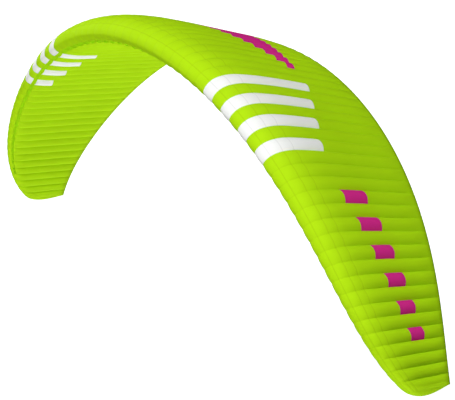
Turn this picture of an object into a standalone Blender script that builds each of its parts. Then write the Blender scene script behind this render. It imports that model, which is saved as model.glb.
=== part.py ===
"""A paraglider wing: one ram-air canopy of 71 cells, arched, full of air and open at its intakes.

Metres, +Z up. +Y runs from the nose to the trailing edge and +X to the pilot's left.
The origin is on the underside of the middle cell, 30 % of the chord behind the nose.
"""

import math
from collections import namedtuple

import bmesh
import bpy
import numpy as np
from mathutils import Matrix, Vector

# ---- span: ribs stand at 0.5, 1.5, ... 35.5 to each side of the middle of the centre cell ----
HALF_SPAN = 6.25  # measured flat, from the middle to the outermost rib
CELLS = 71
TIP_RIB = CELLS / 2
NARROWING = 0.33  # how fast cells get narrower outboard, with the square of the rib number
TIP_NARROWING = 0.07  # and with its sixth power, near the tip

# ---- arch: how far a section leans out, in radians, as a polynomial in the flat span share ----
LEAN = ((1, 1.115), (3, 0.045), (8, 0.07))
ARCH_STEPS = 400

# ---- plan: chord and leading-edge sweep, as polynomials in the flat span share ----
ROOT_CHORD = 2.29
TAPER = ((2, 0.54), (4, 0.05), (10, 0.13), (60, 0.013))  # shares of the root chord lost
SWEEP = ((2, 0.60), (4, -0.15), (10, 0.50), (60, 0.030))  # metres that the nose lies further back
PIVOT = 0.25  # share of the chord about which a section is set at its incidence
INCIDENCE = 0.059  # radians, nose up
WASHOUT = 0.02  # radians less at the tip, with the fourth power of the span share

# ---- section of a rib, in shares of the chord ----
Row = namedtuple("Row", "back upper lower")
SECTION = (
    Row(back=0.000, upper=0.0000, lower=0.0000),
    Row(back=0.003, upper=0.0205, lower=-0.0085),
    Row(back=0.008, upper=0.0330, lower=-0.0145),
    Row(back=0.020, upper=0.0515, lower=-0.0240),
    Row(back=0.040, upper=0.0695, lower=-0.0335),
    Row(back=0.070, upper=0.0845, lower=-0.0400),
    Row(back=0.110, upper=0.0945, lower=-0.0435),
    Row(back=0.160, upper=0.1000, lower=-0.0445),
    Row(back=0.220, upper=0.0998, lower=-0.0422),
    Row(back=0.300, upper=0.0945, lower=-0.0375),
    Row(back=0.400, upper=0.0830, lower=-0.0315),
    Row(back=0.500, upper=0.0695, lower=-0.0255),
    Row(back=0.620, upper=0.0520, lower=-0.0185),
    Row(back=0.750, upper=0.0335, lower=-0.0115),
    Row(back=0.880, upper=0.0160, lower=-0.0055),
    Row(back=1.000, upper=0.0010, lower=-0.0010),
)
BILLOW = 0.145  # height of a cell's crown over its ribs, as a share of the cell's width
BILLOW_FADE = 0.15  # share of the chord, at the trailing edge, over which the billow dies out

# ---- where the panels are cut, in shares of the chord ----
LIP = 0.027  # front of the intakes, on the underside
SAIL_FRONT = 0.053  # rear of the intakes, where the lower sail starts
NOSE_SEAM = 0.083  # rear of the nose panel, on top
UNDER_NOSE_STEP = 0.008
OVER_NOSE_STEPS = (0.006, 0.030)
UPPER_STEPS = (0.20, 0.42, 0.70, 1.0)
LOWER_STEPS = (SAIL_FRONT, 0.20, 0.70, 1.0)
RIB_END = 0.94

# ---- where the span is cut into sections, and which cells have both their ribs here ----
SECTION_ENDS = (-35.5, -31.5, -24.5, -18.5, -12.5, -4.5, 4.5, 12.5, 18.5, 24.5, 31.5, 35.5)
NOSE_CUT = 26.5  # the nose panels are cut here too, on both sides
WALLED_CELL_STEP = 5
LAST_WALLED_CELL = 25

# ---- cloth and clearances ----
SHEET = 0.002
BUTT_GAP = 0.0003  # between neighbours whose inner faces draw apart
SEAM_GAP = 0.0012  # across a seam on a bend, so that the inner faces stay clear too
TIP_SEAM_GAP = 0.0019  # the same in the end sections, which bend more
TIP_GAP = 0.0005  # from the end of the sails to a tip panel
RIB_INSET = 0.00245  # from the outside of the sail to the edge of a rib
EDGE_HALF = 0.0022  # half the thickness at the trailing edge
TIP_REACH = 0.255  # metres that a tip panel stands out, times two powers of shares of the chord:
TIP_AHEAD, TIP_BEHIND = 0.75, 1.25  # the powers of the share ahead of a point and of that behind it
TIP_COLUMNS = 4
HANG_BACK = 0.30
SLOPE_STEP = 0.002

LIME = (0.50, 0.74, 0.02, 1)
LIME_UNDER = (0.42, 0.66, 0.02, 1)
CLOTH_ROUGHNESS = 0.55


def polynomial(terms, at):
    return sum(factor * at**power for power, factor in terms)


def reach(share):
    """Flat distance to a share of the rib numbers, not yet scaled to the half span."""
    return share - NARROWING * share**3 / 3 - TIP_NARROWING * share**7 / 7


def cell_width(rib):
    share = abs(rib) / TIP_RIB
    narrowed = 1 - NARROWING * share**2 - TIP_NARROWING * share**6
    return HALF_SPAN / TIP_RIB * narrowed / reach(1)


def span_share(rib):
    return reach(min(abs(rib) / TIP_RIB, 1)) / reach(1)


def arch():
    """Distance out and height of the arch, at even steps of the flat span share."""
    lean = polynomial(LEAN, (np.arange(ARCH_STEPS) + 0.5) / ARCH_STEPS)
    step = HALF_SPAN / ARCH_STEPS
    out = np.concatenate([[0], np.cumsum(np.cos(lean)) * step])
    height = np.concatenate([[0], -np.cumsum(np.sin(lean)) * step])
    return np.linspace(0, 1, ARCH_STEPS + 1), out, height


ARCH = arch()


def chord_at(rib):
    return ROOT_CHORD * (1 - polynomial(TAPER, span_share(rib)))


def section_frame(rib):
    """Matrix of a section's plane: x along the chord, y up, z along the span to the left."""
    share = span_share(rib)
    side = math.copysign(1, rib)
    lean = side * polynomial(LEAN, share)
    out = side * float(np.interp(share, ARCH[0], ARCH[1]))
    height = float(np.interp(share, ARCH[0], ARCH[2]))
    tilt = INCIDENCE - WASHOUT * share**4
    back = Vector((0, 1, 0))
    up = Vector((math.sin(lean), 0, math.cos(lean)))
    along = back * math.cos(tilt) - up * math.sin(tilt)
    above = back * math.sin(tilt) + up * math.cos(tilt)
    centre = Vector((out, polynomial(SWEEP, share) + PIVOT * chord_at(rib), height))
    frame = Matrix((along, above, along.cross(above))).transposed().to_4x4()
    frame.translation = centre
    return frame


def table_run():
    """The section as one line: a run from -1 at the lower rear, over 0 at the nose, to 1."""
    lower = [(-math.sqrt(row.back), row.lower) for row in reversed(SECTION[1:])]
    upper = [(math.sqrt(row.back), row.upper) for row in SECTION]
    return np.array(lower + upper).T


RUNS, HEIGHTS = table_run()


def run_of(back, side):
    return side * math.sqrt(back)


def outline(run):
    """Shares of the chord back and up, at a place on the section's line."""
    return Vector((run * run, float(np.interp(run, RUNS, HEIGHTS))))


def direction(run):
    """Rate at which the outline moves with the run."""
    change = outline(run + SLOPE_STEP).y - outline(run - SLOPE_STEP).y
    return Vector((2 * run, change / (2 * SLOPE_STEP)))


def section_point(rib, run):
    """A point of the outer skin in its section's plane, with the billow between ribs."""
    chord = chord_at(rib)
    place = outline(run)
    if abs(run) == 1:
        place.y = math.copysign(EDGE_HALF / chord, run)
    heading = direction(run).normalized()
    outward = Vector((-heading.y, heading.x))
    past_rib = (abs(rib) - 0.5) % 1
    crown = BILLOW * cell_width(rib) * 4 * past_rib * (1 - past_rib)
    fade = math.sqrt(min((1 - place.x) / BILLOW_FADE, 1))
    return Vector((place.x - PIVOT, place.y)) * chord + outward * crown * fade


def skin_point(rib, run):
    return section_frame(rib) @ section_point(rib, run).to_3d()


HANG_POINT = skin_point(0, run_of(HANG_BACK, -1))


def moved(rib, run, distance):
    """The run that lies a distance further round the section."""
    return run + distance / (chord_at(rib) * direction(run).length)


def spanwise(first, last):
    """Rib numbers from end to end: every rib and every crown, just short of the neighbours."""
    stops = [first + half / 2 for half in range(round(2 * (last - first)) + 1)]
    stops[0] += BUTT_GAP / 2 / cell_width(first)
    stops[-1] -= BUTT_GAP / 2 / cell_width(last)
    return stops


def material(name, colour):
    made = bpy.data.materials.new(name)
    made.use_nodes = True
    shader = made.node_tree.nodes["Principled BSDF"]
    shader.inputs["Base Color"].default_value = colour
    shader.inputs["Roughness"].default_value = CLOTH_ROUGHNESS
    return made


def sheet_object(name, rows, colour, collection):
    """Cloth of even thickness under rows of points on its outside, each row along the span."""
    mesh = bpy.data.meshes.new(name)
    shape = bmesh.new()
    grid = [[shape.verts.new(point - HANG_POINT) for point in row] for row in rows]
    for low, high in zip(grid, grid[1:]):
        for i in range(len(low) - 1):
            shape.faces.new((low[i], low[i + 1], high[i + 1], high[i]))
    bmesh.ops.remove_doubles(shape, verts=shape.verts, dist=BUTT_GAP / 10)
    shape.to_mesh(mesh)
    shape.free()
    mesh.shade_smooth()
    mesh.materials.append(material(name, colour))
    made = bpy.data.objects.new(name, mesh)
    thickness = made.modifiers.new("cloth", "SOLIDIFY")
    thickness.thickness = SHEET
    thickness.offset = -1
    collection.objects.link(made)
    return made


def panel(name, first, last, runs, gaps, colour, collection):
    """A panel of the sails between two ribs and two seams, drawn back by the gaps."""
    ribs = spanwise(first, last)
    rows = []
    for place, run in enumerate(runs):
        back_off = gaps[0] if place == 0 else -gaps[1] if place == len(runs) - 1 else 0
        rows.append([skin_point(rib, moved(rib, run, back_off)) for rib in ribs])
    return sheet_object(name, rows, colour, collection)


def nose_runs():
    under = [run_of(back, -1) for back in (LIP, UNDER_NOSE_STEP)]
    return under + [run_of(back, 1) for back in OVER_NOSE_STEPS + (NOSE_SEAM,)]


def upper_runs():
    return [run_of(back, 1) for back in (NOSE_SEAM,) + UPPER_STEPS]


def lower_runs():
    return [run_of(back, -1) for back in reversed(LOWER_STEPS)]


def sections(ends):
    """Of each section from the right tip on: its number, its end ribs, and its seam and lip gaps."""
    for number, (first, last) in enumerate(zip(ends, ends[1:]), 1):
        at_tip = TIP_RIB in (-first, last)
        half_gap = (TIP_SEAM_GAP if at_tip else SEAM_GAP) / 2
        yield number, first, last, half_gap, half_gap if at_tip else 0


def add_sails(collection):
    """The three rows of panels, in sections from the right tip to the left one."""
    nose_ends = sorted(SECTION_ENDS + (-NOSE_CUT, NOSE_CUT))
    for number, first, last, seam_gap, lip_gap in sections(nose_ends):
        panel(f"nose_{number}", first, last, nose_runs(), (lip_gap, seam_gap), LIME, collection)
    for number, first, last, seam_gap, lip_gap in sections(SECTION_ENDS):
        under = lower_runs() + [run_of(LIP, -1)] if lip_gap else lower_runs()
        panel(f"upper_{number}", first, last, upper_runs(), (seam_gap, 0), LIME, collection)
        panel(f"lower_{number}", first, last, under, (0, lip_gap), LIME_UNDER, collection)


def crease_line(rib, last_back):
    """The straight runs between a section's cuts, from the lower rear round the nose to the upper."""
    stops = lower_runs() + nose_runs() + upper_runs()[1:]
    points = [section_point(rib, run) for run in stops]
    limit = (last_back - PIVOT) * chord_at(rib)
    ends = []
    for outer, inner in ((points[0], points[1]), (points[-1], points[-2])):
        ends.append(outer.lerp(inner, (outer.x - limit) / (outer.x - inner.x)))
    return [ends[0]] + points[1:-1] + [ends[1]]


def inset(points, depth):
    """A closed outline drawn in by an even depth. It runs clockwise, seen from the left."""
    count = len(points)
    result = []
    for i, here in enumerate(points):
        ahead = (points[(i + 1) % count] - here).normalized()
        behind = (here - points[i - 1]).normalized()
        inward = Vector((ahead.y + behind.y, -ahead.x - behind.x))
        result.append(here + inward * depth / (1 + ahead.dot(behind)))
    return result


def sweep_stretch(rib):
    """How much thicker the swept nose's cloth is when it is measured in the rib's plane."""
    outer, inner = (polynomial(SWEEP, span_share(abs(rib) + half)) for half in (0.5, -0.5))
    return math.hypot(1, (outer - inner) / cell_width(rib))


def rib_object(name, rib, collection):
    """A cloth wall cut to the section's outline, inside the sails and straight across the intake."""
    curve = bpy.data.curves.new(name, "CURVE")
    curve.dimensions = "2D"
    curve.fill_mode = "BOTH"
    curve.extrude = SHEET / 2
    points = inset(crease_line(rib, RIB_END), RIB_INSET * sweep_stretch(rib))
    spline = curve.splines.new("POLY")
    spline.points.add(len(points) - 1)
    for corner, point in zip(spline.points, points):
        corner.co = (point.x, point.y, 0, 1)
    spline.use_cyclic_u = True
    curve.materials.append(material(name, LIME))
    made = bpy.data.objects.new(name, curve)
    made.matrix_world = Matrix.Translation(-HANG_POINT) @ section_frame(rib)
    collection.objects.link(made)
    return made


def add_ribs(collection):
    """Both ribs of the middle cell and of every fifth cell outboard of it."""
    cells = range(0, LAST_WALLED_CELL + 1, WALLED_CELL_STEP)
    ribs = sorted({abs(cell + half) for cell in cells for half in (-0.5, 0.5)})
    for number, rib in enumerate(ribs, 1):
        rib_object(f"rib_left_{number}", rib, collection)
        rib_object(f"rib_right_{number}", -rib, collection)


def tip_panel(name, side, collection):
    """The rounded panel that closes an end: columns from the lower edge to the upper one."""
    rib = side * TIP_RIB
    line = crease_line(rib, RIB_END)
    nose = min(range(len(line)), key=lambda i: line[i].x)
    lower = line[: nose + 1][::-1]
    upper = line[nose:]
    backs = sorted({point.x for point in line})
    frame = section_frame(rib)
    shares = [max(back / chord_at(rib) + PIVOT, 0) for back in backs]
    stands = [TIP_REACH * share**TIP_AHEAD * (1 - share) ** TIP_BEHIND for share in shares]
    rows = []
    for column in range(TIP_COLUMNS):
        up = column / (TIP_COLUMNS - 1)
        row = []
        for back, stand in zip(backs, stands):
            bottom = float(np.interp(back, [p.x for p in lower], [p.y for p in lower]))
            top = float(np.interp(back, [p.x for p in upper], [p.y for p in upper]))
            out = stand * 4 * up * (1 - up) + TIP_GAP
            row.append(frame @ Vector((back, bottom + (top - bottom) * up, side * out)))
        rows.append(row if side < 0 else row[::-1])
    return sheet_object(name, rows, LIME, collection)


def clear_scene():
    for old in list(bpy.data.objects):
        bpy.data.objects.remove(old)


def main():
    clear_scene()
    wing = bpy.data.collections.new("paraglider_wing")
    bpy.context.scene.collection.children.link(wing)
    add_sails(wing)
    add_ribs(wing)
    tip_panel("tip_left", 1, wing)
    tip_panel("tip_right", -1, wing)


main()
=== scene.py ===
"""The looks of a paraglider wing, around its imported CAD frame.

Metres, +Z up. +Y runs from the nose to the trailing edge and +X to the pilot's left.
A run tells how far round a section a point is: 0 at the nose, 1 at the trailing edge along
the top and -1 along the underside. Its square is the share of the chord that the point lies back.
"""

import math
from collections import namedtuple

import bpy
import numpy as np
from mathutils import Matrix, Vector


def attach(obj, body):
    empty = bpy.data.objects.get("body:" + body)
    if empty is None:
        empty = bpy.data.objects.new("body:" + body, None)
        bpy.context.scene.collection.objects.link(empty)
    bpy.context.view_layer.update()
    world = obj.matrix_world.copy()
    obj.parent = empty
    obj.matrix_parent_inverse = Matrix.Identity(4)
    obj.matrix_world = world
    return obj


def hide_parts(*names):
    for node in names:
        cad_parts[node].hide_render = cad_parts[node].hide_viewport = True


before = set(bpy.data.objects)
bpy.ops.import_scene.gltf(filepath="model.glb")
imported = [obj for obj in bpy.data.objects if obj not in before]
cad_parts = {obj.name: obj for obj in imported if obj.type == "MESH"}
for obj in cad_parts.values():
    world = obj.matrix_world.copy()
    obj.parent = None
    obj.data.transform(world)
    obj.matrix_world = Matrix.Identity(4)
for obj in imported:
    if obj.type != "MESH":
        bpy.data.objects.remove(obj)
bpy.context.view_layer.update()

# ---- the wing's own form ----
# It is that of its CAD, but HALF_SPAN, ROOT_CHORD and the first term of SWEEP are a little off its
# own, BILLOW is higher, and FULLNESS and STIFF_RISE, which it doesn't have, make the nose smoother.
HALF_SPAN = 6.265  # measured flat, from the middle to the outermost rib
CELLS = 71
LAST_CELL = CELLS // 2
TIP_RIB = CELLS / 2
NARROWING = 0.33  # how fast cells get narrower outboard, with the square of the rib number
TIP_NARROWING = 0.07  # and with its sixth power, near the tip
# These three are polynomials in the flat span share, each term a power and its factor.
LEAN = ((1, 1.115), (3, 0.045), (8, 0.07))  # radians that a section leans out
TAPER = ((2, 0.54), (4, 0.05), (10, 0.13), (60, 0.013))  # shares of the root chord lost
SWEEP = ((0, -0.006), (2, 0.60), (4, -0.15), (10, 0.50), (60, 0.030))  # how far back the nose lies
ARCH_STEPS = 400
ROOT_CHORD = 2.31
PIVOT = 0.25  # share of the chord about which a section is set at its incidence
INCIDENCE = 0.059  # radians, nose up
WASHOUT = 0.02  # radians less at the tip, with the fourth power of the span share
HANG_BACK = 0.30  # where the origin is, on the underside of the middle cell
Row = namedtuple("Row", "back upper lower")
SECTION = (
    Row(back=0.000, upper=0.0000, lower=0.0000),
    Row(back=0.003, upper=0.0205, lower=-0.0085),
    Row(back=0.008, upper=0.0330, lower=-0.0145),
    Row(back=0.020, upper=0.0515, lower=-0.0240),
    Row(back=0.040, upper=0.0695, lower=-0.0335),
    Row(back=0.070, upper=0.0845, lower=-0.0400),
    Row(back=0.110, upper=0.0945, lower=-0.0435),
    Row(back=0.160, upper=0.1000, lower=-0.0445),
    Row(back=0.220, upper=0.0998, lower=-0.0422),
    Row(back=0.300, upper=0.0945, lower=-0.0375),
    Row(back=0.400, upper=0.0830, lower=-0.0315),
    Row(back=0.500, upper=0.0695, lower=-0.0255),
    Row(back=0.620, upper=0.0520, lower=-0.0185),
    Row(back=0.750, upper=0.0335, lower=-0.0115),
    Row(back=0.880, upper=0.0160, lower=-0.0055),
    Row(back=1.000, upper=0.0010, lower=-0.0010),
)
BILLOW = 0.20  # height of a cell's crown over its ribs, as a share of the cell's width
BILLOW_FADE = 0.15  # share of the chord, at the trailing edge, over which the billow dies out
Fullness = namedtuple("Fullness", "run share")
FULLNESS = (  # how much of its full billow the cloth has, which stiff strips keep low at the nose
    Fullness(run=-1.00, share=1.00),
    Fullness(run=-0.42, share=1.00),
    Fullness(run=-0.23, share=0.62),
    Fullness(run=-0.12, share=0.22),
    Fullness(run=0.12, share=0.20),
    Fullness(run=0.30, share=0.45),
    Fullness(run=0.58, share=1.00),
    Fullness(run=1.00, share=1.00),
)
STIFF_RISE = 0.62  # how far the stiff strips hold the cloth out, as a share of a full crown
LIP = 0.027  # front of the intakes, in shares of the chord
SAIL_FRONT = 0.053  # rear of the intakes, where the lower sail starts
NOSE_SEAM = 0.083  # rear of the nose panel, on top
EDGE_HALF = 0.0022  # half the thickness at the trailing edge
EDGE_POWER = 16  # how late the section thickens to that
TIP_REACH = 0.255  # metres that a tip panel stands out, times two powers of shares of the chord:
TIP_AHEAD, TIP_BEHIND = 0.75, 1.25  # the powers of the share ahead of a point and of that behind it
TIP_ROUNDNESS = 0.75  # and how full it is from its lower edge to its upper one
# The sails are cut at these ribs.
SECTION_ENDS = (-35.5, -31.5, -24.5, -18.5, -12.5, -4.5, 4.5, 12.5, 18.5, 24.5, 31.5, 35.5)
NOSE_CUT = 26.5  # the CAD's nose panels are cut here too, on both sides
WALLED_CELL_STEP = 5  # the CAD has ribs on both sides of every fifth cell,
LAST_WALLED_CELL = 25  # as far out as this one

# ---- how finely the cloth is drawn ----
# Parts of a cell's width, from one rib to the next.
CELL_STOPS = (0, 0.03, 0.08, 0.16, 0.27, 0.38, 0.5, 0.62, 0.73, 0.84, 0.92, 0.97, 1)
TOP_STEPS = 44
NOSE_STEPS = 30
BOTTOM_STEPS = 36
CLOSED_STEPS = 3  # over the place of an intake, in the cells that have none
CLEAR_STEP = 0.3  # share of a step that an even stop keeps from a fixed one
SLOPE_STEP = 0.0005
SAME_RUN = 1e-6
HEM_TURNS = np.radians((45, 90, 135, 180))

# ---- seams and hems ----
CROSS_SEAMS = (0.0205, NOSE_SEAM, 0.156)  # on top, in shares of the chord
SEAM_DEPTH = 0.0012
SEAM_HALF_WIDTH = 0.006
SEAM_STOPS = (-1.8, -0.8, 0, 0.8, 1.8)  # where the cloth is drawn beside a seam, in its half widths
SEAM_CHORD = 0.8 * ROOT_CHORD  # the chord for which those stops are set
HEM = 0.012
HEM_RADIUS = 0.0008
TRAILING_HEM = 0.022
FAR = 1.0  # the distance that stands for no seam nearby
UNDER_CREASE_PAINTED_SHADE = 1.5  # how much stronger the painted shade in the creases beside the ribs is on the lower sail

# ---- inlaid colours: each is one cell wide, sewn in along both its ribs ----
# A block lies on top, from front to rear. A bar starts there at rear and goes round the nose to
# under, on the underside. All three are shares of the chord.
Inlay = namedtuple("Inlay", "name slot cell front rear under")
BARS = tuple(
    Inlay(f"bar_{number}", "sail_white", cell, None, rear, under)
    for number, (cell, rear, under) in enumerate(
        ((11, 0.62, 0.30), (13, 0.54, 0.26), (15, 0.46, 0.22), (17, 0.38, 0.18)), 1
    )
)
BLOCK_FRONT, BLOCK_REAR = 0.30, 0.50
BLOCK_SHIFT = 0.03  # how much further back each one lies than the last
BLOCKS = tuple(
    Inlay(
        f"block_{number}",
        "sail_magenta",
        cell,
        BLOCK_FRONT + BLOCK_SHIFT * number,
        BLOCK_REAR + BLOCK_SHIFT * number,
        None,
    )
    for number, cell in enumerate((21, 23, 25, 27, 29, 31), 1)
)
LOZENGE_CELLS = 8  # to each side of the middle one
LOZENGE_MIDDLE = 0.66  # share of the chord
LOZENGE_HALF = 0.17  # half its length in the middle cell, in the same shares
LOZENGE_POINT = LOZENGE_CELLS + 1.5  # cells out to where its sides would meet


# ---- the form of the wing ----
def polynomial(terms, at):
    return sum(factor * at**power for power, factor in terms)


def reach(share):
    """Flat distance to a share of the rib numbers, not yet scaled to the half span."""
    return share - NARROWING * share**3 / 3 - TIP_NARROWING * share**7 / 7


def cell_width(rib):
    share = np.abs(rib) / TIP_RIB
    narrowed = 1 - NARROWING * share**2 - TIP_NARROWING * share**6
    return HALF_SPAN / TIP_RIB * narrowed / reach(1)


def span_share(rib):
    return reach(np.minimum(np.abs(rib) / TIP_RIB, 1)) / reach(1)


def arch():
    """Span shares, and how far out and how high the arch is at each."""
    lean = polynomial(LEAN, (np.arange(ARCH_STEPS) + 0.5) / ARCH_STEPS)
    step = HALF_SPAN / ARCH_STEPS
    out = np.concatenate([[0], np.cumsum(np.cos(lean)) * step])
    height = np.concatenate([[0], -np.cumsum(np.sin(lean)) * step])
    return np.linspace(0, 1, ARCH_STEPS + 1), out, height


ARCH = arch()


def chord_at(rib):
    return ROOT_CHORD * (1 - polynomial(TAPER, span_share(rib)))


def section_frames(ribs):
    """Of each section: its centre, and the directions back along the chord and up from it."""
    share = span_share(ribs)
    side = np.where(ribs < 0, -1.0, 1.0)
    lean = side * polynomial(LEAN, share)
    out = side * np.interp(share, ARCH[0], ARCH[1])
    height = np.interp(share, ARCH[0], ARCH[2])
    tilt = INCIDENCE - WASHOUT * share**4
    zero = np.zeros_like(lean)
    back = np.stack([zero, zero + 1, zero], -1)
    up = np.stack([np.sin(lean), zero, np.cos(lean)], -1)
    cos, sin = np.cos(tilt)[..., None], np.sin(tilt)[..., None]
    centre = np.stack([out, polynomial(SWEEP, share) + PIVOT * chord_at(ribs), height], -1)
    return centre, back * cos - up * sin, back * sin + up * cos


UNDER_ROWS = SECTION[:0:-1]
RUNS = np.array(
    [-math.sqrt(row.back) for row in UNDER_ROWS] + [math.sqrt(row.back) for row in SECTION]
)
HEIGHTS = np.array([row.lower for row in UNDER_ROWS] + [row.upper for row in SECTION])
SLOPES = np.gradient(HEIGHTS, RUNS)


def heights(run):
    """Height of the section's outline over its chord line: a smooth line through the table."""
    at = np.clip(np.searchsorted(RUNS, run) - 1, 0, len(RUNS) - 2)
    step = RUNS[at + 1] - RUNS[at]
    s = (run - RUNS[at]) / step
    return (
        HEIGHTS[at] * (1 + 2 * s) * (1 - s) ** 2
        + HEIGHTS[at + 1] * s**2 * (3 - 2 * s)
        + step * SLOPES[at] * s * (1 - s) ** 2
        + step * SLOPES[at + 1] * s**2 * (s - 1)
    )


def fullness(run):
    """How much of its full billow the cloth has at a run."""
    stops, shares = zip(*FULLNESS)
    at = np.clip(np.searchsorted(stops, run) - 1, 0, len(stops) - 2)
    low, high = np.array(stops)[at], np.array(stops)[at + 1]
    s = np.clip((run - low) / (high - low), 0, 1)
    first, second = np.array(shares)[at], np.array(shares)[at + 1]
    return first + (second - first) * s * s * (3 - 2 * s)


def seam_dip(run, chord):
    """How far the cloth is drawn in along the seams that run across the cells on top."""
    dip = 0
    for back in CROSS_SEAMS:
        away = (run - math.sqrt(back)) * 2 * math.sqrt(back) * chord
        dip = dip + SEAM_DEPTH * np.exp(-((away / SEAM_HALF_WIDTH) ** 2))
    return dip


def skin(cell, part, run, depth=0.0, beyond=0.0):
    """Points of the cloth: in a cell, at a part of its width, at a run round the section.

    depth leads into the wing, and beyond leads on along the cloth, both in metres.
    """
    rib = cell - 0.5 + part
    chord = chord_at(rib)
    centre, along, above = section_frames(rib)
    thicker = np.sign(run) * (EDGE_HALF - SECTION[-1].upper * chord) * np.abs(run) ** EDGE_POWER
    x = (run * run - PIVOT) * chord
    y = heights(run) * chord + thicker
    ahead = np.minimum(run + SLOPE_STEP, 1)
    behind = np.maximum(run - SLOPE_STEP, -1)
    dx, dy = ahead**2 - behind**2, heights(ahead) - heights(behind)
    length = np.hypot(dx, dy)
    dx, dy = dx / length, dy / length
    full = fullness(run)
    rise = full * 4 * part * (1 - part) + (1 - full) * STIFF_RISE
    crown = BILLOW * cell_width(rib) * rise
    fade = np.sqrt(np.clip((1 - run * run) / BILLOW_FADE, 0, 1))
    out = crown * fade - seam_dip(run, chord) - depth
    x, y = x - dy * out + dx * beyond, y + dx * out + dy * beyond
    return centre + along * x[..., None] + above * y[..., None]


def run_of(back, side=1):
    return side * math.sqrt(back)


HANG_POINT = skin(np.array([0.0]), np.array([0.5]), np.array([run_of(HANG_BACK, -1)]))[0]

# ---- rows of the cloth: each is a run round the section, a depth and a distance beyond ----
Place = namedtuple("Place", "run depth beyond")


def stepped(first, last, steps, fixed=()):
    """Runs at even steps, with those in fixed put in and any step that is too near one left out."""
    even = np.linspace(first, last, steps + 1)
    fixed = sorted({run for run in (first, last, *fixed) if first <= run <= last})
    clear = (last - first) / steps * CLEAR_STEP
    kept = [run for run in even if min(abs(run - stop) for stop in fixed) > clear]
    return sorted([*kept, *fixed])


def flat_places(runs):
    return [Place(run, 0, 0) for run in runs]


def hem_places(run, side):
    """A hem: the edge rolled inwards and laid flat inside the cloth."""
    turns = [
        Place(run, HEM_RADIUS * (1 - math.cos(turn)), side * HEM_RADIUS * math.sin(turn))
        for turn in HEM_TURNS
    ]
    flat = [Place(run, 2 * HEM_RADIUS, -side * HEM * share) for share in (0.5, 1)]
    return turns + flat


def trailing_places():
    """The rear edge of the top sail, turned down to the bottom one."""
    return [
        Place(1, EDGE_HALF * (1 - math.cos(turn)), EDGE_HALF * math.sin(turn))
        for turn in HEM_TURNS
    ]


def around(back, side=1):
    """Runs on both sides of a seam, so that the cloth dips there."""
    run = run_of(back, side)
    return list(run + np.array(SEAM_STOPS) * SEAM_HALF_WIDTH / (2 * abs(run) * SEAM_CHORD))


def lozenge_half(cell):
    return LOZENGE_HALF * (1 - abs(cell) / LOZENGE_POINT)


TOP_ENDS = [bar.rear for bar in BARS]
TOP_ENDS += [end for block in BLOCKS for end in (block.front, block.rear)]
TOP_ENDS += [
    LOZENGE_MIDDLE + side * lozenge_half(cell)
    for cell in range(LOZENGE_CELLS + 1)
    for side in (-1, 1)
]
HEM_START = 1 - TRAILING_HEM / ROOT_CHORD
TOP_RUNS = stepped(
    run_of(NOSE_SEAM),
    1,
    TOP_STEPS,
    [*map(run_of, TOP_ENDS), run_of(HEM_START), *around(NOSE_SEAM), *around(CROSS_SEAMS[2])],
)
NOSE_RUNS = stepped(
    run_of(LIP, -1), run_of(NOSE_SEAM), NOSE_STEPS, [*around(CROSS_SEAMS[0]), *around(NOSE_SEAM)]
)
BOTTOM_ENDS = [run_of(bar.under, -1) for bar in BARS]
BOTTOM_RUNS = stepped(-1, run_of(SAIL_FRONT, -1), BOTTOM_STEPS, [*BOTTOM_ENDS, -run_of(HEM_START)])
CLOSED_RUNS = stepped(run_of(SAIL_FRONT, -1), run_of(LIP, -1), CLOSED_STEPS)[1:]

TOP = flat_places(TOP_RUNS) + trailing_places()
OPEN_NOSE = hem_places(NOSE_RUNS[0], -1)[::-1] + flat_places(NOSE_RUNS)
CLOSED_NOSE = flat_places(NOSE_RUNS)
OPEN_BOTTOM = flat_places(BOTTOM_RUNS) + hem_places(BOTTOM_RUNS[-1], 1)
CLOSED_BOTTOM = flat_places(BOTTOM_RUNS + CLOSED_RUNS)
SEAM_RUNS = [run_of(back) for back in CROSS_SEAMS]


class Band:
    """One row of panels across some cells: its points, and where they lie on the cut cloth."""

    def __init__(self, places, cells):
        self.cells = list(cells)
        self.runs = np.array([place.run for place in places])
        stops = np.array(CELL_STOPS)
        run, cell, part = np.meshgrid(self.runs, self.cells, stops, indexing="ij")
        shape = run.shape
        depth, beyond = (
            np.broadcast_to(np.array(values, float)[:, None, None], shape)
            for values in zip(*[place[1:] for place in places])
        )
        self.points = skin(cell.astype(float), part, run, depth, beyond) - HANG_POINT
        steps = np.linalg.norm(np.diff(self.points, axis=0), axis=-1)
        self.along = np.concatenate([np.zeros((1, *shape[1:])), np.cumsum(steps, 0)])
        width = cell_width(cell.astype(float))
        self.across = part * width
        self.to_rib = np.minimum(part, 1 - part) * width
        # how strong the painted shade in the creases beside the ribs is: more where the cloth
        # billows more, and more on the lower sail
        self.full = fullness(run) * np.where(run < 0, UNDER_CREASE_PAINTED_SHADE, 1.0)
        # the distance to the trailing edge, before which painted shade darkens the cloth
        self.to_rear = (1 - run * run) * chord_at(cell.astype(float))

    def to_seams(self, seam_runs):
        """Distance along the cloth from each point to the nearest of some cross seams."""
        near = np.full(self.along.shape, FAR)
        for seam in seam_runs:
            row = int(np.argmin(np.abs(self.runs - seam)))
            if abs(self.runs[row] - seam) < SAME_RUN:
                near = np.minimum(near, np.abs(self.along - self.along[row]))
        return near


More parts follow.
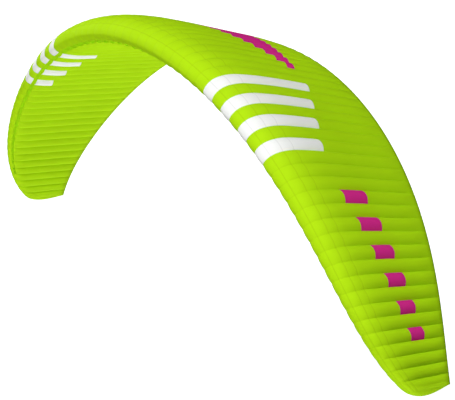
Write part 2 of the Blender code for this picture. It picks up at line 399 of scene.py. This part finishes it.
def cloth_object(name, points, faces, corner_maps, creases, material):
    """A mesh of smooth cloth.

    corner_maps holds UV maps, and creases the rib that each point is on, or -1.
    """
    used, compact = np.unique(faces, return_inverse=True)
    mesh = bpy.data.meshes.new(name)
    mesh.from_pydata(points[used], [], compact.reshape(faces.shape))
    mesh.shade_smooth()
    for map_name, values in corner_maps.items():
        layer = mesh.uv_layers.new(name=map_name)
        layer.data.foreach_set("uv", values.astype(np.float32).ravel())
    ends = np.empty(len(mesh.edges) * 2, np.int32)
    mesh.edges.foreach_get("vertices", ends)
    rib = creases[used][ends.reshape(-1, 2)]
    sharp = mesh.attributes.new("sharp_edge", "BOOLEAN", "EDGE")
    sharp.data.foreach_set("value", (rib[:, 0] == rib[:, 1]) & (rib[:, 0] >= 0))
    mesh.materials.append(material)
    made = bpy.data.objects.new(name, mesh)
    bpy.context.scene.collection.objects.link(made)
    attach(made, "root")
    return made


def band_piece(name, band, shown, material, seam_runs=()):
    """The panels of a band where shown, an array over its rows and cells, says so."""
    stops = len(CELL_STOPS)
    rows, cells = shown.shape
    columns = cells * (stops - 1) + 1
    kept = shown[..., None] & np.ones(stops - 1, bool)
    grid = np.meshgrid(np.arange(rows), np.arange(cells), np.arange(stops - 1), indexing="ij")
    row, cell, stop = (numbers[kept] for numbers in grid)
    corners = ((0, 0), (0, 1), (1, 1), (1, 0))
    column = cell * (stops - 1) + stop
    faces = np.stack([(row + up) * columns + column + right for up, right in corners], -1)

    def at_corners(values):
        return np.stack([values[row + up, cell, stop + right] for up, right in corners], -1)

    welded = np.zeros((rows + 1, columns, 3))
    for number in range(cells):
        first = number * (stops - 1)
        welded[:, first : first + stops] = band.points[:, number]
    creases = np.full((rows + 1, columns), -1)
    creases[:, :: stops - 1] = np.arange(cells + 1)
    to_seams = band.to_seams(seam_runs)
    maps = {
        "cloth": np.stack([at_corners(band.across), at_corners(band.along)], -1),
        "seams": np.stack([at_corners(band.to_rib), at_corners(to_seams)], -1),
        # place holds the strength of the painted crease shade, and the distance to the trailing
        # edge for the painted shade there
        "place": np.stack([at_corners(band.full), at_corners(band.to_rear)], -1),
    }
    made = cloth_object(name, welded.reshape(-1, 3), faces, maps, creases.ravel(), material)
    return made


# ---- materials ----
Cloth = namedtuple("Cloth", "colour shade through")  # through: how translucent it is, up to 1
CLOTHS = {
    "sail_lime": Cloth(colour=(0.475, 0.80, 0.0075), shade=(0.24, 0.43, 0.002), through=0.06),
    "rib_lime": Cloth(colour=(0.56, 0.79, 0.015), shade=(0.30, 0.43, 0.006), through=0.4),
    "sail_white": Cloth(colour=(0.97, 0.97, 0.97), shade=(0.50, 0.51, 0.52), through=0.06),
    "sail_magenta": Cloth(colour=(0.76, 0.028, 0.30), shade=(0.40, 0.012, 0.15), through=0.06),
}
RIPSTOP = 0.0075  # between the thicker threads
THREAD_HALF = 0.0007
# how far from a rib the painted shade in a crease reaches
PAINTED_CREASE_WIDTH = 0.030
LINE_EDGE, LINE_WIDTH = 0.001, 0.005  # the dark line in the fold along a rib: the seam's own line, with painted shade in the fold
DOUBLED_WIDTH = 0.007
DOUBLED_EDGE = 0.8 * DOUBLED_WIDTH
STITCH = 0.004
STITCH_AWAY = 0.003  # from the seam
ROW_EDGE, ROW_HALF = 0.0004, 0.0009  # of a row of stitches
DASH_EDGE, DASH_HALF = 0.0012, 0.0016  # of one stitch in it
REAR_EDGE, REAR_BAND = 0.010, 0.09  # the painted shade before the trailing edge: full up to the first, gone at the second, from the trailing edge
BROAD_SCALE, FINE_SCALE = 1.1, 55.0  # spots of noise in a metre
BROAD_DETAIL, FINE_DETAIL = 3.0, 2.0
PUCKER_REACH = 0.09
PUCKERS = (9.0, 34.0)  # in a metre, across a panel and along it

# How far each mark takes the cloth from its colour to its shade. The creases and the band before
# the trailing edge are painted shade, and the fold line is the seam's own line with painted shade
# in the fold; the rest is the cloth's own.
UNEVEN_SHADE, LEAST_SHADE = 0.22, 0.03
# painted shade in the creases beside the ribs
PAINTED_CREASE_SHADE = 0.10
# the seam's own line along a rib, with painted shade in the fold
FOLD_LINE_AND_SHADE = 0.12
# painted shade in a band before the trailing edge
PAINTED_REAR_SHADE = 0.42
DOUBLED_SHADE = 0.16
GRID_SHADE = 0.05
STITCH_SHADE = 0.25

# How high each mark stands, as a share of the relief's depth, which the puckers have in full.
RELIEF_DEPTH = 0.004
RELIEF_STRENGTH = 0.5
GRID_RELIEF = 0.06
FINE_RELIEF = 0.05
STITCH_RELIEF = -0.3
ROUGHNESS, UNEVEN_ROUGHNESS = 0.65, 0.16
SPECULAR = 0.02
MIX_INPUTS, MIX_OUTPUT = (0, 6, 7), 2  # sockets of a Mix node that mixes colours


class Tree:
    """A short way to write a material's nodes."""

    def __init__(self, material):
        self.nodes = material.node_tree.nodes
        self.links = material.node_tree.links

    def add(self, kind, inputs=(), **settings):
        node = self.nodes.new(kind)
        for setting, value in settings.items():
            setattr(node, setting, value)
        for socket, value in dict(inputs).items():
            if isinstance(value, bpy.types.NodeSocket):
                self.links.new(value, node.inputs[socket])
            else:
                node.inputs[socket].default_value = value
        return node

    def math(self, operation, *values):
        return self.add("ShaderNodeMath", dict(enumerate(values)), operation=operation).outputs[0]

    def fade(self, value, full, none):
        """1 where a value is at full, and 0 where it is at none."""
        limits = {"Value": value, "From Min": full, "From Max": none, "To Min": 1.0, "To Max": 0.0}
        node = self.add("ShaderNodeMapRange", limits, interpolation_type="SMOOTHSTEP")
        return node.outputs["Result"]

    def mix(self, factor, first, second):
        inputs = dict(zip(MIX_INPUTS, (factor, first, second)))
        return self.add("ShaderNodeMix", inputs, data_type="RGBA").outputs[MIX_OUTPUT]

    def noise(self, at, scale, detail):
        inputs = {"Vector": at, "Scale": scale, "Detail": detail}
        return self.add("ShaderNodeTexNoise", inputs).outputs[0]

    def blend(self, terms, start):
        """Adds each value, times its factor, to the start."""
        for value, factor in terms:
            start = self.math("MULTIPLY_ADD", value, factor, start)
        return start

    def uv(self, name):
        found = self.add("ShaderNodeUVMap", uv_map=name).outputs[0]
        split = self.add("ShaderNodeSeparateXYZ", {0: found})
        return split.outputs[0], split.outputs[1]


def cloth_material(name, cloth):
    """Coated ripstop: a grid of thicker threads, with puckers and stitching along its seams, and
    painted shade in the creases beside the ribs and before the trailing edge.
    """
    material = bpy.data.materials.new(f"{name}_cloth")
    material.use_nodes = True
    tree = Tree(material)
    across, along = tree.uv("cloth")
    to_rib, to_seam = tree.uv("seams")
    # the strength of the painted crease shade, and the distance to the trailing edge
    full, to_rear = tree.uv("place")
    place = tree.add("ShaderNodeTexCoord").outputs["Object"]

    lines = [
        tree.fade(tree.math("PINGPONG", side, RIPSTOP / 2), THREAD_HALF / 2, THREAD_HALF)
        for side in (across, along)
    ]
    grid = tree.math("MAXIMUM", *lines)
    broad = tree.noise(place, BROAD_SCALE, BROAD_DETAIL)
    fine = tree.noise(place, FINE_SCALE, FINE_DETAIL)
    # painted shade in the crease beside each rib, darker where the cloth billows more
    crease_painted_shade = tree.math("MULTIPLY", tree.fade(to_rib, 0.0, PAINTED_CREASE_WIDTH), full)
    # the dark line in the fold along each rib: the seam's own line with painted shade
    fold_line_and_shade = tree.fade(to_rib, LINE_EDGE, LINE_WIDTH)
    # painted shade that darkens the cloth towards the trailing edge
    rear = tree.fade(to_rear, REAR_EDGE, REAR_BAND)
    doubled = tree.fade(to_seam, DOUBLED_EDGE, DOUBLED_WIDTH)
    off_row = tree.math("ABSOLUTE", tree.math("SUBTRACT", to_seam, STITCH_AWAY))
    row = tree.fade(off_row, ROW_EDGE, ROW_HALF)
    dash = tree.fade(tree.math("PINGPONG", across, STITCH / 2), DASH_EDGE, DASH_HALF)
    stitches = tree.math("MULTIPLY", row, dash)

    uneven = tree.math("MULTIPLY_ADD", tree.math("SUBTRACT", broad, 0.5), UNEVEN_SHADE, LEAST_SHADE)
    marks = (
        (crease_painted_shade, PAINTED_CREASE_SHADE),
        (fold_line_and_shade, FOLD_LINE_AND_SHADE),
        (rear, PAINTED_REAR_SHADE),
        (doubled, DOUBLED_SHADE),
        (grid, GRID_SHADE),
        (stitches, STITCH_SHADE),
    )
    shade = tree.add("ShaderNodeClamp", {0: tree.blend(marks, uneven)}).outputs[0]
    colour = tree.mix(shade, (*cloth.colour, 1), (*cloth.shade, 1))

    sides = [tree.math("MULTIPLY", *pair) for pair in zip((across, along), PUCKERS)]
    stretched = tree.add("ShaderNodeCombineXYZ", dict(enumerate(sides))).outputs[0]
    near_rib = tree.fade(to_rib, 0.0, PUCKER_REACH)
    pucker = tree.math("MULTIPLY", tree.noise(stretched, 1.0, FINE_DETAIL), near_rib)
    raised = ((grid, GRID_RELIEF), (fine, FINE_RELIEF), (stitches, STITCH_RELIEF))
    relief = tree.blend(raised, pucker)
    bump_inputs = {"Strength": RELIEF_STRENGTH, "Distance": RELIEF_DEPTH, "Height": relief}
    normal = tree.add("ShaderNodeBump", bump_inputs).outputs[0]

    shader = tree.nodes["Principled BSDF"]
    rough = tree.math("MULTIPLY_ADD", broad, UNEVEN_ROUGHNESS, ROUGHNESS)
    for socket, source in (("Base Color", colour), ("Roughness", rough), ("Normal", normal)):
        tree.links.new(source, shader.inputs[socket])
    shader.inputs["Specular IOR Level"].default_value = SPECULAR
    behind = tree.add("ShaderNodeBsdfTranslucent", {"Color": colour, "Normal": normal})
    layers = {0: cloth.through, 1: shader.outputs[0], 2: behind.outputs[0]}
    both = tree.add("ShaderNodeMixShader", layers)
    tree.links.new(both.outputs[0], tree.nodes["Material Output"].inputs["Surface"])
    return material


MATERIALS = {name: cloth_material(name, cloth) for name, cloth in CLOTHS.items()}


# ---- sails ----
def between(runs, low, high):
    middle = (np.array(runs[1:]) + np.array(runs[:-1])) / 2
    return (middle > low) & (middle < high)


def mask_of(band, low, high, cells):
    """Which faces of a band lie between two runs and in some cells."""
    return between(band.runs, low, high)[:, None] & np.isin(band.cells, cells)[None, :]


def whole(band):
    return np.ones((len(band.runs) - 1, len(band.cells)), bool)


PAST = 1.01  # a run beyond either end


class Sail:
    """A row of panels right across the wing, from which inlays are taken before it is cut."""

    def __init__(self, name, node, ends, open_places, closed_places, seam_runs):
        self.name, self.node, self.seam_runs = name, node, seam_runs
        self.sections = []
        for number, (first, last) in enumerate(zip(ends, ends[1:]), 1):
            at_tip = TIP_RIB in (-first, last)
            cells = range(math.ceil(first + 0.5), math.ceil(last + 0.5))
            band = Band(closed_places if at_tip else open_places, cells)
            self.sections.append((number, band, whole(band)))

    def inlay(self, name, slot, low, high, cell):
        """Cuts an inlay of one cell's width out of the sail, as a piece of its own."""
        for number, band, left in self.sections:
            if cell in band.cells:
                shown = left & mask_of(band, low, high, [cell])
                left &= ~shown
                piece = band_piece(name, band, shown, MATERIALS[slot], self.seam_runs + [low, high])
                finish_piece(piece, slot, f"{self.node}_{number}")

    def cut(self):
        """Makes what the inlays left of each section."""
        for number, band, left in self.sections:
            name = f"{self.name}_{number}"
            piece = band_piece(name, band, left, MATERIALS["sail_lime"], self.seam_runs)
            finish_piece(piece, "sail_lime", f"{self.node}_{number}")


def finish_piece(piece, slot, *nodes):
    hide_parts(*nodes)


NOSE_ENDS = sorted(SECTION_ENDS + (-NOSE_CUT, NOSE_CUT))
top = Sail("top_sail", "upper", SECTION_ENDS, TOP, TOP, SEAM_RUNS + [run_of(HEM_START)])
nose = Sail("leading_edge", "nose", NOSE_ENDS, OPEN_NOSE, CLOSED_NOSE, SEAM_RUNS)
bottom = Sail(
    "bottom_sail", "lower", SECTION_ENDS, OPEN_BOTTOM, CLOSED_BOTTOM, [-run_of(HEM_START)]
)
SIDES = (("left", 1), ("right", -1))
for hand, side in SIDES:
    for bar in BARS:
        cell = side * bar.cell
        nose.inlay(f"nose_{bar.name}_{hand}", bar.slot, -PAST, PAST, cell)
        top.inlay(f"top_{bar.name}_{hand}", bar.slot, -PAST, run_of(bar.rear), cell)
        bottom.inlay(f"under_{bar.name}_{hand}", bar.slot, run_of(bar.under, -1), PAST, cell)
    for block in BLOCKS:
        front, rear = run_of(block.front), run_of(block.rear)
        top.inlay(f"{block.name}_{hand}", block.slot, front, rear, side * block.cell)
for cell in range(-LOZENGE_CELLS, LOZENGE_CELLS + 1):
    front, rear = (run_of(LOZENGE_MIDDLE + way * lozenge_half(cell)) for way in (-1, 1))
    top.inlay(f"lozenge_{cell + LOZENGE_CELLS + 1}", "sail_magenta", front, rear, cell)
for sail in (top, nose, bottom):
    sail.cut()


# ---- cell walls and end panels ----
# Where the cloth of a wall is drawn, in shares of the chord.
RIB_BACKS = [
    *(0.0008, 0.0022, 0.005, 0.009, 0.014, CROSS_SEAMS[0], LIP, 0.034, 0.043, SAIL_FRONT, 0.066),
    *(NOSE_SEAM, 0.10, 0.125, CROSS_SEAMS[2], 0.19, 0.23, 0.28, 0.33, 0.39, 0.45, 0.52, 0.59),
    *(0.66, 0.73, 0.80, 0.87, 0.93, 0.975),
]
RIB_STEPS = 4
RIB_GAP = 0.0006  # from the cloth of the sails to the edge of a rib
END_BACKS = [0.0, *RIB_BACKS, 0.99, 1.0]
END_STEPS = 12


def wall_grid(rib, backs, steps, depth, reach_out):
    """Points across a section, from its lower edge up, at each place back, rounded outwards."""
    side = -1 if rib < 0 else 1
    cell, part, inside = (
        np.full(len(backs), value) for value in (rib - 0.5 * side, float(side > 0), depth)
    )
    low, high = (skin(cell, part, way * np.sqrt(np.array(backs)), inside) for way in (-1, 1))
    up = np.linspace(0, 1, steps + 1)[:, None, None]
    _, along, above = section_frames(np.array([float(rib)]))
    outward = side * np.cross(along, above)
    back = np.array(backs)[None, :, None]
    rounded = back**TIP_AHEAD * (1 - back) ** TIP_BEHIND
    stand = reach_out * rounded * (4 * up * (1 - up)) ** TIP_ROUNDNESS
    return low + (high - low) * up + outward * stand - HANG_POINT


def wall_piece(name, rib, backs, steps, cloth, depth=0.0, reach_out=0.0):
    """A sheet across a section: depth inside the sails, and bulging out by reach_out."""
    points = wall_grid(rib, backs, steps, depth, reach_out)
    rows, columns = points.shape[:2]
    numbers = np.meshgrid(np.arange(rows - 1), np.arange(columns - 1), indexing="ij")
    row, column = (values.ravel() for values in numbers)
    order = ((0, 0), (0, 1), (1, 1), (1, 0)) if rib > 0 else ((0, 0), (1, 0), (1, 1), (0, 1))
    faces = np.stack([(row + up) * columns + column + on for up, on in order], -1)
    run_on = np.linalg.norm(np.diff(points, axis=1, prepend=points[:, :1]), axis=-1).cumsum(1)
    run_up = np.linalg.norm(np.diff(points, axis=0, prepend=points[:1]), axis=-1).cumsum(0)
    to_edge = np.minimum(run_up, run_up[-1] - run_up)

    def at_corners(*values):
        pairs = np.stack(values, -1)
        return np.stack([pairs[row + up, column + on] for up, on in order], 1)

    ones = np.ones_like(run_on)
    maps = {
        "cloth": at_corners(run_up, run_on),
        # a wall's edges get the painted crease shade and the fold line in full, as though beside a
        # rib
        "seams": at_corners(to_edge, FAR * ones),
        "place": at_corners(ones, ones),
    }
    creases = np.full(points.size // 3, -1)
    made = cloth_object(name, points.reshape(-1, 3), faces, maps, creases, MATERIALS[cloth])
    return made


# The ribs that the CAD has too, which their walls stand for.
walled_cells = range(0, LAST_WALLED_CELL + 1, WALLED_CELL_STEP)
walled = sorted({abs(cell + half) for cell in walled_cells for half in (-0.5, 0.5)})
for hand, side in SIDES:
    for number in range(1, LAST_CELL + 1):
        rib = number - 0.5
        name = f"cell_wall_{hand}_{number}"
        piece = wall_piece(name, side * rib, RIB_BACKS, RIB_STEPS, "rib_lime", depth=RIB_GAP)
        if rib in walled:
            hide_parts(f"rib_{hand}_{walled.index(rib) + 1}")
    name = f"end_panel_{hand}"
    piece = wall_piece(name, side * TIP_RIB, END_BACKS, END_STEPS, "sail_lime", reach_out=TIP_REACH)
    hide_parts(f"tip_{hand}")


# ---- floor, light and camera ----
FLOOR_HEIGHT = -7.0
FLOOR_HALF = 150.0
FLOOR_COLOUR, FLOOR_ROUGHNESS, FLOOR_GLOW = (0.8, 0.8, 0.8), 0.9, 0.75
BACKDROP_GLOW = 1.05
SKY_GLOW = 0.04
WHITE = (1, 1, 1, 1)
CAMERA_PLACE = Vector((16.1975, -9.1097, 2.2762))
# In radians: to the left of +Y, up, and with its right side raised.
CAMERA_YAW, CAMERA_PITCH, CAMERA_ROLL = 1.0113, -0.2253, 0.0425
LENS_SHARE = 3.1601  # the lens over the sensor's width
SENSOR = 36.0
CLIP_END = 1000.0
Light = namedtuple("Light", "name coming_from strength shadow")
LIGHTS = (  # front and key are one light whose shadows are half filled
    Light("front", coming_from=(0.42, -0.67, 0.61), strength=0.62, shadow=False),
    Light("key", coming_from=(0.42, -0.67, 0.61), strength=0.46, shadow=True),
    Light("low", coming_from=(0.30, -0.75, -0.60), strength=0.06, shadow=True),
    Light("below", coming_from=(0.24, 0.24, -0.94), strength=0.92, shadow=True),
    Light("left", coming_from=(-0.97, -0.15, 0.20), strength=0.16, shadow=False),
)
LIGHT_SOFTNESS = 8  # degrees across


def floor_material():
    material = bpy.data.materials.new("pale_floor")
    material.use_nodes = True
    inputs = material.node_tree.nodes["Principled BSDF"].inputs
    inputs["Base Color"].default_value = (*FLOOR_COLOUR, 1)
    inputs["Roughness"].default_value = FLOOR_ROUGHNESS
    inputs["Specular IOR Level"].default_value = 0.0
    inputs["Emission Color"].default_value = WHITE
    inputs["Emission Strength"].default_value = FLOOR_GLOW
    return material


def add_floor():
    """A pale floor that neither lights the wing nor shades it."""
    mesh = bpy.data.meshes.new("floor")
    corners = ((-1, -1), (1, -1), (1, 1), (-1, 1))
    places = [(x * FLOOR_HALF, y * FLOOR_HALF, FLOOR_HEIGHT) for x, y in corners]
    mesh.from_pydata(places, [], [(0, 1, 2, 3)])
    mesh.materials.append(floor_material())
    floor = bpy.data.objects.new("floor", mesh)
    bpy.context.scene.collection.objects.link(floor)
    floor.visible_diffuse = floor.visible_glossy = False
    floor.visible_transmission = floor.visible_shadow = False


def add_sun(light):
    """A distant soft light that shines from a direction."""
    sun = bpy.data.lights.new(light.name, "SUN")
    sun.energy = light.strength * math.pi
    sun.angle = math.radians(LIGHT_SOFTNESS)
    sun.use_shadow = light.shadow
    lamp = bpy.data.objects.new(light.name, sun)
    lamp.rotation_euler = Vector(light.coming_from).to_track_quat("Z", "Y").to_euler()
    bpy.context.scene.collection.objects.link(lamp)


def add_world():
    """White to the camera, and an even soft light for the rest."""
    world = bpy.data.worlds.new("studio")
    world.use_nodes = True
    tree = world.node_tree
    seen = tree.nodes.new("ShaderNodeLightPath").outputs["Is Camera Ray"]
    backdrop = tree.nodes.new("ShaderNodeBackground")
    backdrop.inputs["Color"].default_value = WHITE
    backdrop.inputs["Strength"].default_value = BACKDROP_GLOW
    soft = tree.nodes["Background"]
    soft.inputs["Color"].default_value = WHITE
    soft.inputs["Strength"].default_value = SKY_GLOW
    mix = tree.nodes.new("ShaderNodeMixShader")
    tree.links.new(seen, mix.inputs[0])
    tree.links.new(soft.outputs[0], mix.inputs[1])
    tree.links.new(backdrop.outputs[0], mix.inputs[2])
    tree.links.new(mix.outputs[0], tree.nodes["World Output"].inputs["Surface"])
    bpy.context.scene.world = world


def add_camera():
    data = bpy.data.cameras.new("camera")
    data.sensor_width = SENSOR
    data.lens = LENS_SHARE * SENSOR
    data.clip_end = CLIP_END
    camera = bpy.data.objects.new("camera", data)
    level = Vector((math.cos(CAMERA_YAW), math.sin(CAMERA_YAW), 0))
    forth = Vector((-level.y, level.x, 0))
    ahead = forth * math.cos(CAMERA_PITCH) + Vector((0, 0, math.sin(CAMERA_PITCH)))
    upright = level.cross(ahead)
    right = level * math.cos(CAMERA_ROLL) + upright * math.sin(CAMERA_ROLL)
    up = upright * math.cos(CAMERA_ROLL) - level * math.sin(CAMERA_ROLL)
    turned = Matrix((right, up, -ahead)).transposed().to_4x4()
    camera.matrix_world = Matrix.Translation(CAMERA_PLACE) @ turned
    bpy.context.scene.collection.objects.link(camera)
    bpy.context.scene.camera = camera


add_floor()
add_world()
for light in LIGHTS:
    add_sun(light)
add_camera()
bpy.context.scene.view_settings.view_transform = "Standard"
